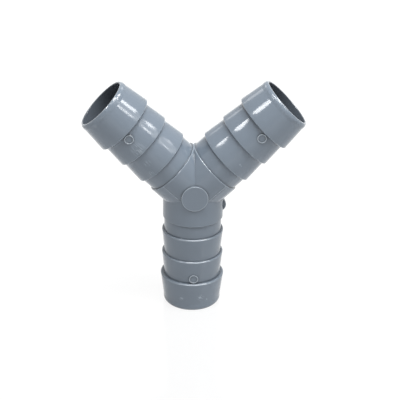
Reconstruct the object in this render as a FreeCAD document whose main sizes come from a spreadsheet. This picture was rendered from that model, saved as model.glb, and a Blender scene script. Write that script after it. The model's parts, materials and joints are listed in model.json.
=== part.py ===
import FreeCAD, Part
import math
import os
import Sketcher

# Hose-barb Y connector, moulded in one piece: three hollow barbed legs that meet at one point.
# The stem stands on its own end at z = 0, and the two branches rise to either side in the XZ plane.
# The front of the moulding, with its round pad, faces -Y.

V = FreeCAD.Vector

os.makedirs("parts", exist_ok=True)
doc = FreeCAD.newDocument("y_connector")

# Driving sizes, in millimetres and degrees.
SIZES = (
    ("branch_angle", 46.0, "between the line of the stem and each branch"),
    ("stem_reach", 80.5, "junction point to the stem's end"),
    ("branch_reach", 78.5, "junction point to a branch's end"),
    ("body_radius", 19.0, "plain body of each leg"),
    ("body_bevel", 0.3, "small bevel at the body's end"),
    ("neck_radius", 18.05, "neck behind each shoulder"),
    ("neck_length", 8.8, "body's end to the first barb's shoulder"),
    ("barb_radius", 19.4, "crest of the two low barbs"),
    ("barb_pitch", 15.6, "shoulder to shoulder"),
    ("heel_length", 1.6, "straight bit between a cone's end and the next shoulder"),
    ("crest_bevel", 0.6, "small bevel of each crest"),
    ("collar_radius", 20.15, "crest of the collar near the end"),
    ("collar_length", 15.6, "collar's shoulder to the end of its cone"),
    ("land_radius", 18.3, "plain land behind the rim"),
    ("land_length", 1.9, "length of that land"),
    ("rim_length", 2.4, "length over which the rim rounds in"),
    ("rim_drop", 1.1, "how far the rim rounds in"),
    ("bore_radius", 16.2, "straight bore of every leg"),
    ("mouth_bevel", 0.3, "small bevel of the bore's mouth"),
    ("pad_radius", 8.2, "round pad on the front of the junction"),
    ("pad_raise", 0.8, "pad's face above the body"),
    ("pad_drop", 0.75, "junction point down to the pad's centre"),
    ("pip_radius", 2.9, "round ejector pip on the front of each leg"),
    ("pip_raise", 0.8, "top of the pip's lip above the neck"),
    ("pip_lip", 0.6, "width of the lip round the pip"),
    ("pip_sink", 0.35, "pip's face below the top of its lip"),
    ("pip_gap", 0.4, "pip's edge to the collar's shoulder"),
    ("stub_radius", 4.8, "broken gate stub on the stem's right, a disc seen face on from the front"),
    ("stub_raise", 1.8, "stub's edge above the body"),
    ("stub_thick", 3.2, "stub's thickness, front to back"),
    ("stub_drop", 13.2, "junction point down to the stub's centre"),
    ("bead_radius", 0.22, "fine witness bead along the front of each branch's body"),
    ("bead_angle", 27.0, "bead's place round the branch, from its front line towards its lower side"),
)

sheet = doc.addObject("Spreadsheet::Sheet", "Sizes")
size = {}
for row, (name, value, note) in enumerate(SIZES, start=1):
    sheet.set("A%d" % row, note)
    sheet.set("B%d" % row, str(value))
    sheet.setAlias("B%d" % row, name)
    size[name] = value
doc.recompute()

body = doc.addObject("PartDesign::Body", "y_connector")
body.Label = "y_connector"


def named(sum_of_sizes):
    """A sum of sizes with each word written as its cell in the sheet."""
    return " ".join("Sizes." + word if word in size else word for word in sum_of_sizes.split())


def number(sum_of_sizes):
    """What a sum of sizes comes to, for a sketch's first drawing."""
    total, sign = 0.0, 1.0
    for word in sum_of_sizes.split():
        if word in ("+", "-"):
            sign = -1.0 if word == "-" else 1.0
        else:
            total += sign * (size[word] if word in size else float(word))
    return total


def stations(leg):
    """Where each feature of a leg starts, as a sum of sizes counted from the junction point."""
    end = leg + "_reach"
    rim = end + " - rim_length"
    land = rim + " - land_length"
    collar = land + " - collar_length"
    outer_barb = collar + " - barb_pitch"
    inner_barb = outer_barb + " - barb_pitch"
    step = inner_barb + " - neck_length"
    return {
        "step": step,
        "inner_barb": inner_barb,
        "outer_barb": outer_barb,
        "collar": collar,
        "land": land,
        "rim": rim,
        "end": end,
    }


def origin_plane(role):
    """The body's own origin plane with this role."""
    return next(f for f in body.Origin.OriginFeatures if f.Role == role)


class Section:
    """A sketch drawn from lines and arcs, whose sizes and places are tied to the sheet."""

    def __init__(self, name, role):
        self.sketch = body.newObject("Sketcher::SketchObject", name)
        self.sketch.AttachmentSupport = [(origin_plane(role), "")]
        self.sketch.MapMode = "FlatFace"
        self.sketch.Visibility = False
        self.ties = 0

    def along(self, leg, out="0"):
        """Sets it on the junction point with its own up along a leg, and moves it out to the front."""
        turn = {"stem": 180.0, "branch": -size["branch_angle"]}[leg]
        place = V(0, size["stem_reach"], number(out))
        self.sketch.AttachmentOffset = FreeCAD.Placement(place, FreeCAD.Rotation(V(0, 0, 1), turn))
        self.sketch.setExpression(".AttachmentOffset.Base.y", "Sizes.stem_reach")
        self.sketch.setExpression(".AttachmentOffset.Base.z", named(out))
        if leg == "branch":
            self.sketch.setExpression(".AttachmentOffset.Rotation.Angle", "-Sizes.branch_angle")
        return self

    def line(self, start, end, lie=None):
        points = [V(number(x), number(y), 0) for x, y in (start, end)]
        made = self.sketch.addGeometry(Part.LineSegment(*points))
        if lie:
            self.sketch.addConstraint(Sketcher.Constraint(lie, made))
        return made

    def circle(self, centre, radius):
        middle = V(number(centre[0]), number(centre[1]), 0)
        made = self.sketch.addGeometry(Part.Circle(middle, V(0, 0, 1), number(radius)))
        self.tie("Radius", (made,), radius)
        return made

    def join(self, kind, *points):
        self.sketch.addConstraint(Sketcher.Constraint(kind, *points))

    def tie(self, kind, points, sum_of_sizes):
        """A measured constraint whose value is a sum of sizes."""
        value = number(sum_of_sizes)
        index = self.sketch.addConstraint(Sketcher.Constraint(kind, *points, value))
        self.ties += 1
        label = "%s_%d" % (kind.lower(), self.ties)
        self.sketch.renameConstraint(index, label)
        self.sketch.setExpression("Constraints." + label, named(sum_of_sizes))

    def across(self, geometry, point, sum_of_sizes):
        self.tie("DistanceX", (-1, 1, geometry, point), sum_of_sizes)

    def up(self, geometry, point, sum_of_sizes):
        self.tie("DistanceY", (-1, 1, geometry, point), sum_of_sizes)


def leg_section(leg):
    """Half section of a leg, solid to its axis: body, neck, two barbs, collar, land and rim."""
    at = stations(leg)
    draw = Section(leg + "_section", "XZ_Plane").along(leg)

    # The body, from the junction point to the small step at its end.
    base = draw.line(("0", "0"), ("body_radius", "0"), "Horizontal")
    draw.join("Coincident", base, 1, -1, 1)
    draw.across(base, 2, "body_radius")
    inner, edge = "body_radius - body_bevel", at["step"] + " - body_bevel"
    side = draw.line(("body_radius", "0"), ("body_radius", edge), "Vertical")
    draw.join("Coincident", base, 2, side, 1)
    draw.up(side, 2, edge)
    bevel = draw.line(("body_radius", edge), (inner, at["step"]))
    draw.join("Coincident", side, 2, bevel, 1)
    draw.across(bevel, 2, inner)
    last = draw.line((inner, at["step"]), ("neck_radius", at["step"]), "Horizontal")
    draw.join("Coincident", bevel, 2, last, 1)
    draw.up(last, 2, at["step"])

    # Each ring has a straight heel before it, a flat shoulder, a bevelled crest and a long cone.
    heel_from = at["step"]
    rings = (
        ("barb_radius", at["inner_barb"], "neck_radius", at["outer_barb"] + " - heel_length"),
        ("barb_radius", at["outer_barb"], "neck_radius", at["collar"] + " - heel_length"),
        ("collar_radius", at["collar"], "land_radius", at["land"]),
    )
    for crest, shoulder_at, foot, foot_at in rings:
        heel = draw.line(("neck_radius", heel_from), ("neck_radius", shoulder_at), "Vertical")
        draw.join("Coincident", last, 2, heel, 1)
        draw.across(heel, 2, "neck_radius")
        draw.up(heel, 2, shoulder_at)
        inner, edge = crest + " - crest_bevel", shoulder_at + " + crest_bevel"
        shoulder = draw.line(("neck_radius", shoulder_at), (inner, shoulder_at), "Horizontal")
        draw.join("Coincident", heel, 2, shoulder, 1)
        draw.across(shoulder, 2, inner)
        bevel = draw.line((inner, shoulder_at), (crest, edge))
        draw.join("Coincident", shoulder, 2, bevel, 1)
        draw.across(bevel, 2, crest)
        draw.up(bevel, 2, edge)
        last = draw.line((crest, edge), (foot, foot_at))
        draw.join("Coincident", bevel, 2, last, 1)
        draw.up(last, 2, foot_at)
        heel_from = foot_at

    # The land, the rim that rounds in from it, and the flat end.
    land = draw.line(("land_radius", at["land"]), ("land_radius", at["rim"]), "Vertical")
    draw.join("Coincident", last, 2, land, 1)
    draw.across(land, 2, "land_radius")
    draw.up(land, 2, at["rim"])
    run, drop = size["rim_length"], size["rim_drop"]
    bow = (run * run + drop * drop) / (2 * drop)
    circle = Part.Circle(V(size["land_radius"] - bow, number(at["rim"]), 0), V(0, 0, 1), bow)
    rim = draw.sketch.addGeometry(Part.ArcOfCircle(circle, 0.0, math.asin(run / bow)))
    draw.join("Tangent", land, 2, rim, 1)
    face = draw.line(("land_radius - rim_drop", at["end"]), ("0", at["end"]), "Horizontal")
    draw.join("Coincident", rim, 2, face, 1)
    draw.across(face, 1, "land_radius - rim_drop")
    draw.up(face, 1, at["end"])
    axis = draw.line(("0", at["end"]), ("0", "0"), "Vertical")
    draw.join("Coincident", face, 2, axis, 1)
    draw.join("Coincident", axis, 2, base, 1)
    return draw.sketch


def bore_section(leg):
    """Half section of a leg's bore, with the bevel of its mouth."""
    end = stations(leg)["end"]
    draw = Section(leg + "_bore_section", "XZ_Plane").along(leg)
    outer, edge = "bore_radius + mouth_bevel", end + " - mouth_bevel"
    base = draw.line(("0", "0"), ("bore_radius", "0"), "Horizontal")
    draw.join("Coincident", base, 1, -1, 1)
    draw.across(base, 2, "bore_radius")
    wall = draw.line(("bore_radius", "0"), ("bore_radius", edge), "Vertical")
    draw.join("Coincident", base, 2, wall, 1)
    draw.up(wall, 2, edge)
    bevel = draw.line(("bore_radius", edge), (outer, end))
    draw.join("Coincident", wall, 2, bevel, 1)
    draw.across(bevel, 2, outer)
    top = draw.line((outer, end), ("0", end), "Horizontal")
    draw.join("Coincident", bevel, 2, top, 1)
    draw.up(top, 2, end)
    axis = draw.line(("0", end), ("0", "0"), "Vertical")
    draw.join("Coincident", top, 2, axis, 1)
    draw.join("Coincident", axis, 2, base, 1)
    return draw.sketch


def turned(kind, name, section):
    """A full turn of a section about its own vertical axis, added to the body or cut from it."""
    doc.recompute()
    feature = body.newObject("PartDesign::" + kind, name)
    feature.Profile = section
    feature.ReferenceAxis = (section, ["V_Axis"])
    feature.Angle = 360.0
    return feature


def raised(name, section, depth, both_ways=False):
    """A disc or bar raised from a section, reaching back into the solid leg."""
    doc.recompute()
    feature = body.newObject("PartDesign::Pad", name)
    feature.Profile = section
    feature.Length = number(depth)
    feature.setExpression("Length", named(depth))
    feature.Midplane = both_ways
    feature.Reversed = not both_ways
    return feature


def mirrored(name, originals):
    """The same features on the other side of the YZ plane."""
    doc.recompute()
    feature = body.newObject("PartDesign::Mirrored", name)
    feature.Originals = originals
    feature.MirrorPlane = (origin_plane("YZ_Plane"), [""])
    body.Tip = feature
    return feature


def pip_circle(leg, name, radius):
    """A circle about the pip's centre on the leg's front line, just behind the collar's shoulder."""
    draw = Section(leg + name, "XZ_Plane").along(leg, "neck_radius + pip_raise")
    centre = stations(leg)["collar"] + " - pip_gap - pip_radius"
    circle = draw.circle(("0", centre), radius)
    draw.join("PointOnObject", circle, 3, -2)
    draw.up(circle, 3, centre)
    return draw.sketch


def pip(leg):
    """Ejector pip: a disc on the leg, and its face sunk inside a thin lip."""
    outline = pip_circle(leg, "_pip_circle", "pip_radius")
    disc = raised(leg + "_pip", outline, "neck_radius + pip_raise")
    hollow = pip_circle(leg, "_face_circle", "pip_radius - pip_lip")
    doc.recompute()
    face = body.newObject("PartDesign::Pocket", leg + "_pip_face")
    face.Profile = hollow
    face.Length = size["pip_sink"]
    face.setExpression("Length", "Sizes.pip_sink")
    return [disc, face]


def witness_bead():
    """Half-round bead along a branch's body, from under the pad to the step."""
    draw = Section("bead_circle", "XY_Plane")
    draw.sketch.AttachmentOffset = FreeCAD.Placement(
        V(0, 0, size["stem_reach"]), FreeCAD.Rotation(V(0, 1, 0), size["branch_angle"])
    )
    draw.sketch.setExpression(".AttachmentOffset.Base.z", "Sizes.stem_reach")
    draw.sketch.setExpression(".AttachmentOffset.Rotation.Angle", "Sizes.branch_angle")
    ray = math.radians(size["bead_angle"])
    far = V(size["body_radius"] * math.sin(ray), -size["body_radius"] * math.cos(ray), 0)
    spoke = draw.sketch.addGeometry(Part.LineSegment(V(0, 0, 0), far), True)
    draw.join("Coincident", spoke, 1, -1, 1)
    draw.tie("Distance", (spoke,), "body_radius")
    index = draw.sketch.addConstraint(Sketcher.Constraint("Angle", -2, 2, spoke, 1, ray))
    draw.sketch.renameConstraint(index, "place")
    draw.sketch.setExpression("Constraints.place", "Sizes.bead_angle")
    circle = draw.sketch.addGeometry(Part.Circle(far, V(0, 0, 1), size["bead_radius"]))
    draw.tie("Radius", (circle,), "bead_radius")
    draw.join("Coincident", circle, 3, spoke, 2)
    bead = raised("witness_bead", draw.sketch, stations("branch")["step"] + " - body_bevel")
    bead.Reversed = False
    return bead


# Outer form: the stem, then the right branch with its pip and bead, then the same on the left.
stem = turned("Revolution", "stem_leg", leg_section("stem"))
branch = turned("Revolution", "branch_leg", leg_section("branch"))
branch_marks = pip("branch") + [witness_bead()]
both = mirrored("other_branch", [branch] + branch_marks)
pip("stem")

# The pad on the front of the junction, flat and parallel to the legs' plane.
pad_out = "body_radius + pad_raise"
pad_draw = Section("pad_circle", "XZ_Plane").along("stem", pad_out)
pad_ring = pad_draw.circle(("0", "pad_drop"), "pad_radius")
pad_draw.join("PointOnObject", pad_ring, 3, -2)
pad_draw.up(pad_ring, 3, "pad_drop")
pad = raised("front_pad", pad_draw.sketch, pad_out)

# The stub left where the moulding was broken from its gate, on the parting plane.
stub_draw = Section("stub_circle", "XZ_Plane").along("stem")
stub_across = "0 - body_radius - stub_raise + stub_radius"
stub_ring = stub_draw.circle((stub_across, "stub_drop"), "stub_radius")
stub_draw.across(stub_ring, 3, stub_across)
stub_draw.up(stub_ring, 3, "stub_drop")
stub = raised("gate_stub", stub_draw.sketch, "stub_thick", both_ways=True)

# The bores, cut last, so that they clear the whole junction.
stem_bore = turned("Groove", "stem_bore", bore_section("stem"))
branch_bore = turned("Groove", "branch_bore", bore_section("branch"))
other_bore = mirrored("other_bore", [branch_bore])
doc.recompute()

for item in doc.Objects:
    if "Invalid" in item.State or "Error" in item.State:
        raise RuntimeError("%s did not recompute: %s" % (item.Name, item.State))
    if item.isDerivedFrom("Sketcher::SketchObject") and (item.solve() != 0 or not item.FullyConstrained):
        raise RuntimeError("%s is not fully constrained" % item.Name)

solids = body.Shape.Solids
if len(solids) != 1 or solids[0].isNull() or not solids[0].isValid():
    raise RuntimeError("the connector is not one valid solid")
connector = solids[0]
connector.exportStep("parts/y_connector.step")
box = connector.optimalBoundingBox()
print("y_connector", [round(v, 2) for v in (box.XMin, box.YMin, box.ZMin, box.XMax, box.YMax, box.ZMax)])
print("volume", round(connector.Volume, 1), "faces", len(connector.Faces))
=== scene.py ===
import json
import math

import bpy
from mathutils import Matrix, Vector

# Moulded hose connector: one hollow Y of semi-gloss grey plastic, standing on its stem
# on a white table under soft studio light. Everything is in metres.

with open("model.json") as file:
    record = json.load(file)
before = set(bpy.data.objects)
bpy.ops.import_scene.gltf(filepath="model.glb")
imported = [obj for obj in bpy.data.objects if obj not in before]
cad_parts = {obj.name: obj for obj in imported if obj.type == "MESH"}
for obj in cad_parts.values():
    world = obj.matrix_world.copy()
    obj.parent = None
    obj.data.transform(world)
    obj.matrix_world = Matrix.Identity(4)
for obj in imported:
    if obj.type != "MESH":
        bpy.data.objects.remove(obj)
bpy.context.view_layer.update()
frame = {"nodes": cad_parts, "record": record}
connector = frame["nodes"]["y_connector"]
print("loaded the connector,", len(connector.data.polygons), "faces")

# Places on the three legs, from the lands that the hoses slip over and from the bore.

millimetre = 0.001


def measureLegs(record):
    mounts = {mount["name"]: mount for mount in record["mounts"]}
    stemLand, branchLand = mounts["stem_land"], mounts["right_land"]
    branchAxis = Vector(branchLand["axis"])
    landMiddle = Vector(branchLand["pos_m"])
    junction = landMiddle - branchAxis * (landMiddle.x / branchAxis.x)  # on the stem's axis
    landToEnd = stemLand["pos_m"][2]     # the stem's end stands at height zero
    return {
        "junction": junction,            # where the three legs meet
        "branchAxis": branchAxis,        # the right branch's, which the left one mirrors
        "stemReach": junction.z,         # from the junction to the leg's end
        "branchReach": (landMiddle - junction).length + landToEnd,
        "ringsFrom": landToEnd + stemLand["dims"]["length_mm"] * millimetre / 2,
        "boreRadius": mounts["stem_bore"]["dims"]["r_mm"] * millimetre,
    }


legs = measureLegs(frame["record"])
print("legs measured, they meet", round(legs["stemReach"] / millimetre, 1), "mm up")

# Camera, at the photograph's height and a little to the left of the front.

cameraSettings = {
    "distance": 0.7283,
    "elevation": 25.42,                  # degrees above the floor
    "aside": 3.76,                       # degrees round to the left of the front
    "roll": 0.99,                        # degrees
    "right": 0.00424,                    # the junction sits a little left of the
    "down": 0.00956,                     # picture's middle, and above it
    "focalLength": 104.82,
    "sensor": 36.0,
    "nearest": 0.01,
    "farthest": 20.0,
}


def makeCamera(settings):
    data = bpy.data.cameras.new("camera")
    data.lens = settings["focalLength"]
    data.sensor_width = settings["sensor"]
    data.clip_start, data.clip_end = settings["nearest"], settings["farthest"]
    camera = bpy.data.objects.new("camera", data)
    bpy.context.scene.collection.objects.link(camera)
    turn = (
        Matrix.Rotation(math.radians(-settings["aside"]), 4, "Z")
        @ Matrix.Rotation(math.radians(90.0 - settings["elevation"]), 4, "X")
        @ Matrix.Rotation(math.radians(settings["roll"]), 4, "Z")
    )
    offset = Vector((settings["right"], -settings["down"], settings["distance"]))
    camera.matrix_world = Matrix.Translation(legs["junction"]) @ turn @ Matrix.Translation(offset)
    bpy.context.scene.camera = camera


makeCamera(cameraSettings)
print("camera set")

# Steps that the materials are built from. A value is a number or another step's output.


def addStep(tree, kind, operation, values):
    step = tree.nodes.new(kind)
    step.operation = operation
    for socket, value in zip(step.inputs, values):
        if isinstance(value, bpy.types.NodeSocket):
            tree.links.new(value, socket)
        else:
            socket.default_value = value
    return step.outputs


def maths(tree, operation, *values):
    return addStep(tree, "ShaderNodeMath", operation, values)["Value"]


def vectorMaths(tree, operation, *values):
    return addStep(tree, "ShaderNodeVectorMath", operation, values)


def mapRange(tree, value, fromRange=(0.0, 1.0), toRange=(0.0, 1.0), easing="LINEAR"):
    span = tree.nodes.new("ShaderNodeMapRange")
    span.interpolation_type = easing
    for name, number in zip(("From Min", "From Max", "To Min", "To Max"), fromRange + toRange):
        span.inputs[name].default_value = number
    tree.links.new(value, span.inputs["Value"])
    return span.outputs["Result"]


def noise(tree, vector, scale, detail):
    cloud = tree.nodes.new("ShaderNodeTexNoise")
    cloud.inputs["Scale"].default_value = scale
    cloud.inputs["Detail"].default_value = detail
    tree.links.new(vector, cloud.inputs["Vector"])
    return cloud.outputs["Fac"]


def bump(tree, height, normal, strength, distance):
    relief = tree.nodes.new("ShaderNodeBump")
    relief.inputs["Strength"].default_value = strength
    relief.inputs["Distance"].default_value = distance
    tree.links.new(height, relief.inputs["Height"])
    tree.links.new(normal, relief.inputs["Normal"])
    return relief.outputs["Normal"]


# Plastic: semi-gloss as moulded, a cool bluish grey.

plasticSettings = {
    "refraction": 1.5,
    "colour": (0.140, 0.171, 0.208, 1.0),
    "paler": (0.156, 0.190, 0.231, 1.0),
    "driftScale": 28.0,                  # cloudy drift of the pigment, a few centimetres across
    "driftDetail": 3.0,
    "roughness": 0.13,
    "roughnessSwing": 0.02,
    "hazeScale": 90.0,
    "hazeDetail": 4.0,
    "peelScale": 1300.0,                 # very fine orange peel of the skin
    "peelDetail": 2.0,
    "peelStrength": 0.25,
    "peelHeight": 0.000007,
    "edgeRadius": 0.0004,
    "edgeSamples": 6,
    "shelterSamples": 8,
    "shelter": (0.95, 0.5),              # openness where painted shade or painted edge highlight starts and is full
    # painted shade in the concave corners
    "cornerReach": 0.0017,
    "cornerColour": (0.055, 0.066, 0.080, 1.0),
    "cornerMost": 0.8,
    # painted highlight on the convex moulded edges
    "rubReach": 0.0006,
    "rubColour": (0.38, 0.43, 0.48, 1.0),
    "rubMost": 0.85,
    # painted shade inside the bore
    "boreColour": (0.070, 0.082, 0.098, 1.0),
    "boreFade": (0.0006, 0.0001),        # beyond the bore's radius, where its painted shade starts and is full
    "ringPitch": 0.0156,
    "ringCount": 3.0,                    # the collar and two barbs, counted from a leg's end
    "barbEase": 1.05,                    # how strongly a taper eases, in millimetres
    "collarEase": 2.0,
    "collarEaseFrom": 0.62,              # share of the collar's taper that stays straight
    # painted highlights: paler streaks at a few spots, where the gloss is also duller
    "scuffColour": (0.27, 0.315, 0.36, 1.0),
    "scuffMost": 0.7,
    "scuffRoughness": 0.22,
    "scuffScale": 1500.0,
    "scuffDetail": 2.0,
    "scuffStretch": 6.7,
    "scuffStreaks": (0.47, 0.60),        # noise at which a streak starts and is full
    "scuffCore": 0.3,                    # share of a painted highlight's reach that is fully painted
    "scuffs": (
        # where it is, and how far it reaches
        (-0.0288, -0.0181, 0.1032, 0.0026),
        (-0.0264, -0.0179, 0.0965, 0.0022),
        (-0.0345, -0.0190, 0.1125, 0.0055),
        (0.0338, -0.0190, 0.1082, 0.0020),
        (0.0452, -0.0198, 0.1221, 0.0012),
        (0.0274, -0.0183, 0.1014, 0.0016),
        (-0.0075, -0.0173, 0.0086, 0.0020),
        (0.0046, -0.0184, 0.0098, 0.0030),
        (0.0086, -0.0165, 0.0071, 0.0016),
    ),
}


def legPlace(tree, place):
    # How far a point is from the end of the leg it is on, and from that leg's axis.
    fromJunction = vectorMaths(tree, "SUBTRACT", place, legs["junction"])["Vector"]
    split = tree.nodes.new("ShaderNodeSeparateXYZ")
    tree.links.new(fromJunction, split.inputs["Vector"])

    # Along the stem, and along the branches, which are alike on both sides.
    downStem = maths(tree, "MULTIPLY", split.outputs["Z"], -1.0)
    sideways = maths(tree, "ABSOLUTE", split.outputs["X"])
    oneSide = tree.nodes.new("ShaderNodeCombineXYZ")
    tree.links.new(sideways, oneSide.inputs["X"])
    tree.links.new(split.outputs["Z"], oneSide.inputs["Z"])
    folded = oneSide.outputs["Vector"]
    upBranch = vectorMaths(tree, "DOT_PRODUCT", folded, legs["branchAxis"])["Value"]
    along = maths(tree, "MAXIMUM", downStem, upBranch)

    # The branches are a little shorter than the stem.
    onBranch = maths(tree, "GREATER_THAN", upBranch, downStem)
    reach = mapRange(tree, onBranch, toRange=(legs["stemReach"], legs["branchReach"]))
    fromEnd = maths(tree, "SUBTRACT", reach, along)

    # Distance from the axis, by Pythagoras.
    square = vectorMaths(tree, "DOT_PRODUCT", fromJunction, fromJunction)["Value"]
    alongSquare = maths(tree, "MULTIPLY", along, along)
    offAxis = maths(tree, "SUBTRACT", square, alongSquare)
    return fromEnd, maths(tree, "SQRT", offAxis)


def taperHeight(tree, fromEnd, settings):
    # Each barb's taper eases in at its foot and out at its crest, so its highlights are short.
    # The collar, nearest the leg's end, does so at its crest only. Heights are in millimetres.
    ringsTo = legs["ringsFrom"] + settings["ringPitch"] * settings["ringCount"]
    ring = mapRange(tree, fromEnd, (legs["ringsFrom"], ringsTo), (0.0, settings["ringCount"]))
    part = maths(tree, "FRACT", ring)
    eased = mapRange(tree, part, easing="SMOOTHSTEP")
    offStraight = maths(tree, "SUBTRACT", eased, part)
    barb = maths(tree, "MULTIPLY", offStraight, settings["barbEase"])

    # The collar's straight part is lifted, so that the bend ends level with its crest.
    nearCrest = maths(tree, "SUBTRACT", part, settings["collarEaseFrom"])
    bend = maths(tree, "MAXIMUM", nearCrest, 0.0)
    bendSquare = maths(tree, "POWER", bend, 2.0)
    lift = settings["collarEase"] * (1.0 - settings["collarEaseFrom"]) ** 2
    collar = maths(tree, "MULTIPLY_ADD", bendSquare, -settings["collarEase"], lift)

    height = tree.nodes.new("ShaderNodeMix")
    height.data_type = "FLOAT"
    onCollar = maths(tree, "LESS_THAN", ring, 1.0)
    tree.links.new(onCollar, height.inputs["Factor"])
    tree.links.new(barb, height.inputs["A"])
    tree.links.new(collar, height.inputs["B"])
    return height.outputs["Result"]


def tint(tree, under, colour, share):
    # Lays a colour over another, as much of it as the share says.
    over = tree.nodes.new("ShaderNodeMix")
    over.data_type = "RGBA"
    over.inputs["B"].default_value = colour
    tree.links.new(share, over.inputs["Factor"])
    tree.links.new(under, over.inputs["A"])
    return over.outputs["Result"]


def glintMarks(tree, place, settings):
    # Painted highlights: short pale streaks down the left leg's length, only near a few spots.
    branchAngle = math.atan2(legs["branchAxis"].x, legs["branchAxis"].z)
    stretch = tree.nodes.new("ShaderNodeMapping")
    stretch.vector_type = "TEXTURE"
    stretch.inputs["Rotation"].default_value = (0.0, -branchAngle, 0.0)
    stretch.inputs["Scale"].default_value = (1.0, 1.0, settings["scuffStretch"])
    tree.links.new(place, stretch.inputs["Vector"])
    grain = noise(tree, stretch.outputs["Vector"], settings["scuffScale"], settings["scuffDetail"])
    streaks = mapRange(tree, grain, settings["scuffStreaks"])
    near = 0.0
    for x, y, z, reach in settings["scuffs"]:
        away = vectorMaths(tree, "DISTANCE", place, (x, y, z))["Value"]
        spot = mapRange(tree, away, (reach, reach * settings["scuffCore"]))
        near = maths(tree, "MAXIMUM", near, spot)
    return maths(tree, "MULTIPLY", near, streaks)


def shelterShare(tree, reach, inside, most, settings):
    # How much painted shade or painted edge highlight to lay: the most in tight corners, or on edges
    # when it looks inside, and none on open surface.
    shelter = tree.nodes.new("ShaderNodeAmbientOcclusion")
    shelter.samples = settings["shelterSamples"]
    shelter.inside = inside
    shelter.only_local = True
    shelter.inputs["Distance"].default_value = reach
    return mapRange(tree, shelter.outputs["AO"], settings["shelter"], (0.0, most))


def makePlastic(settings):
    material = bpy.data.materials.new("moulded plastic")
    material.use_nodes = True
    tree = material.node_tree
    shader = tree.nodes["Principled BSDF"]
    shader.inputs["IOR"].default_value = settings["refraction"]
    place = tree.nodes.new("ShaderNodeTexCoord").outputs["Object"]
    fromEnd, fromAxis = legPlace(tree, place)

    # Cloudy pigment.
    drift = noise(tree, place, settings["driftScale"], settings["driftDetail"])
    pigment = tree.nodes.new("ShaderNodeMix")
    pigment.data_type = "RGBA"
    pigment.inputs["A"].default_value = settings["colour"]
    pigment.inputs["B"].default_value = settings["paler"]
    tree.links.new(drift, pigment.inputs["Factor"])

    # Painted shade in the corners, painted highlights on the edges and in a few pale streaks, and
    # painted shade in the bore.
    corners = shelterShare(tree, settings["cornerReach"], False, settings["cornerMost"], settings)
    shaded = tint(tree, pigment.outputs["Result"], settings["cornerColour"], corners)
    edges = shelterShare(tree, settings["rubReach"], True, settings["rubMost"], settings)
    edgeLit = tint(tree, shaded, settings["rubColour"], edges)
    glints = glintMarks(tree, place, settings)
    glintShare = mapRange(tree, glints, toRange=(0.0, settings["scuffMost"]))
    glinted = tint(tree, edgeLit, settings["scuffColour"], glintShare)
    boreFrom, boreFull = (legs["boreRadius"] + gap for gap in settings["boreFade"])
    inBore = mapRange(tree, fromAxis, (boreFrom, boreFull))
    finished = tint(tree, glinted, settings["boreColour"], inBore)
    tree.links.new(finished, shader.inputs["Base Color"])

    # Gloss that changes a little from place to place, and is duller on the painted highlight streaks.
    haze = noise(tree, place, settings["hazeScale"], settings["hazeDetail"])
    glossiest = settings["roughness"] - settings["roughnessSwing"]
    dullest = settings["roughness"] + settings["roughnessSwing"]
    gloss = mapRange(tree, haze, toRange=(glossiest, dullest))
    duller = maths(tree, "MULTIPLY_ADD", glints, settings["scuffRoughness"], gloss)
    tree.links.new(duller, shader.inputs["Roughness"])

    # Moulded edges are a touch soft, tapers ease, and the skin has its orange peel.
    soft = tree.nodes.new("ShaderNodeBevel")
    soft.samples = settings["edgeSamples"]
    soft.inputs["Radius"].default_value = settings["edgeRadius"]
    eased = taperHeight(tree, fromEnd, settings)
    taper = bump(tree, eased, soft.outputs["Normal"], 1.0, millimetre)
    skin = noise(tree, place, settings["peelScale"], settings["peelDetail"])
    peel = bump(tree, skin, taper, settings["peelStrength"], settings["peelHeight"])
    tree.links.new(peel, shader.inputs["Normal"])
    return material


plastic = makePlastic(plasticSettings)
for slot in connector.material_slots:
    slot.material = plastic
print("plastic made")

# White table: seen directly it glows to white and keeps the connector's soft shadow.

floorSettings = {
    "size": 8.0,
    "colour": (0.80, 0.80, 0.80, 1.0),
    "roughness": 0.12,
    "seenColour": (0.08, 0.08, 0.08, 1.0),
    "seenGlow": 0.85,
}


def seenDirectly(tree):
    # 1 for camera, glossy and transmission rays, and 0 for the light that falls on things.
    path = tree.nodes.new("ShaderNodeLightPath")
    either = maths(tree, "MAXIMUM", path.outputs["Is Camera Ray"], path.outputs["Is Glossy Ray"])
    return maths(tree, "MAXIMUM", either, path.outputs["Is Transmission Ray"])


def makeFloor(settings):
    half = settings["size"] / 2
    mesh = bpy.data.meshes.new("floor")
    corners = [(-half, -half, 0.0), (half, -half, 0.0), (half, half, 0.0), (-half, half, 0.0)]
    mesh.from_pydata(corners, [], [(0, 1, 2, 3)])
    floor = bpy.data.objects.new("floor", mesh)
    bpy.context.scene.collection.objects.link(floor)
    material = bpy.data.materials.new("white table")
    material.use_nodes = True
    tree = material.node_tree
    table = tree.nodes["Principled BSDF"]
    table.inputs["Base Color"].default_value = settings["colour"]
    table.inputs["Roughness"].default_value = settings["roughness"]
    seen = tree.nodes.new("ShaderNodeBsdfPrincipled")
    seen.inputs["Base Color"].default_value = settings["seenColour"]
    seen.inputs["Roughness"].default_value = settings["roughness"]
    seen.inputs["Emission Color"].default_value = (1.0, 1.0, 1.0, 1.0)
    seen.inputs["Emission Strength"].default_value = settings["seenGlow"]
    blend = tree.nodes.new("ShaderNodeMixShader")
    tree.links.new(seenDirectly(tree), blend.inputs["Fac"])
    tree.links.new(table.outputs["BSDF"], blend.inputs[1])
    tree.links.new(seen.outputs["BSDF"], blend.inputs[2])
    tree.links.new(blend.outputs["Shader"], tree.nodes["Material Output"].inputs["Surface"])
    mesh.materials.append(material)


makeFloor(floorSettings)
print("floor made")

# Soft studio lamps turned to the junction, in a white room that is seen but sheds no light.

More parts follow.
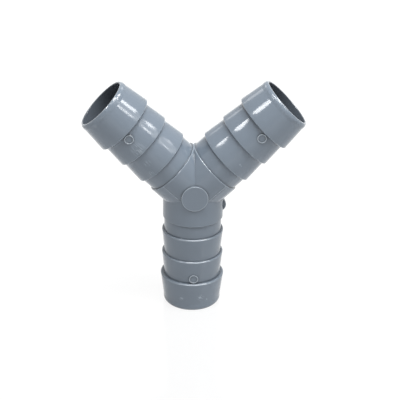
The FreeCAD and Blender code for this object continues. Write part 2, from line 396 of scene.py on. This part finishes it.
lightSettings = {
    "roomColour": (1.0, 1.0, 1.0, 1.0),
    "distance": 1.2,
    "lamps": (
        # name, degrees round from the front to the right, degrees up, width, height, watts
        ("overhead", 0.0, 79.0, 0.24, 0.24, 4.3),
        ("overhead left", -60.0, 79.0, 0.24, 0.24, 2.5),
        ("overhead front", 0.0, 66.0, 0.80, 0.12, 3.0),
        ("overhead right", 60.0, 66.0, 0.24, 0.24, 3.2),
        ("overhead far right", 90.0, 66.0, 0.24, 0.24, 3.8),
        ("upper front", 30.0, 56.0, 0.24, 0.24, 1.3),
        ("upper right", 60.0, 56.0, 0.24, 0.24, 2.2),
        ("upper far right", 90.0, 56.0, 0.24, 0.24, 2.1),
        ("upper left", -60.0, 57.0, 0.24, 0.24, 0.6),
        ("left strip", -55.5, 47.2, 0.31, 0.16, 2.9),
        ("right strip", 71.0, 45.7, 0.26, 0.10, 1.3),
        ("right wall", 58.0, 41.0, 0.50, 0.26, 0.75),
        ("right patch", 40.0, 37.0, 0.20, 0.08, 0.76),
        ("lower right", 52.0, 32.0, 0.44, 0.16, 0.6),
        ("back right", 150.0, 45.0, 0.40, 0.30, 1.4),
        ("back left", -150.0, 34.0, 0.40, 0.30, 0.8),
    ),
}


def makeRoom(settings):
    world = bpy.data.worlds.new("studio")
    bpy.context.scene.world = world
    world.use_nodes = True
    tree = world.node_tree
    room = tree.nodes["Background"]
    room.inputs["Color"].default_value = settings["roomColour"]
    tree.links.new(seenDirectly(tree), room.inputs["Strength"])


def towards(around, up):
    turn, rise = math.radians(around), math.radians(up)
    return Vector((math.sin(turn) * math.cos(rise), -math.cos(turn) * math.cos(rise), math.sin(rise)))


def makeLamps(settings):
    for name, around, up, width, height, watts in settings["lamps"]:
        away = towards(around, up)
        data = bpy.data.lights.new(name, "AREA")
        data.shape = "RECTANGLE"
        data.size, data.size_y = width, height
        data.energy = watts
        lamp = bpy.data.objects.new(name, data)
        lamp.location = legs["junction"] + away * settings["distance"]
        lamp.rotation_mode = "QUATERNION"
        lamp.rotation_quaternion = away.to_track_quat("Z", "Y")
        bpy.context.scene.collection.objects.link(lamp)


makeRoom(lightSettings)
makeLamps(lightSettings)
bpy.context.scene.view_settings.view_transform = "Standard"
print("lights set")
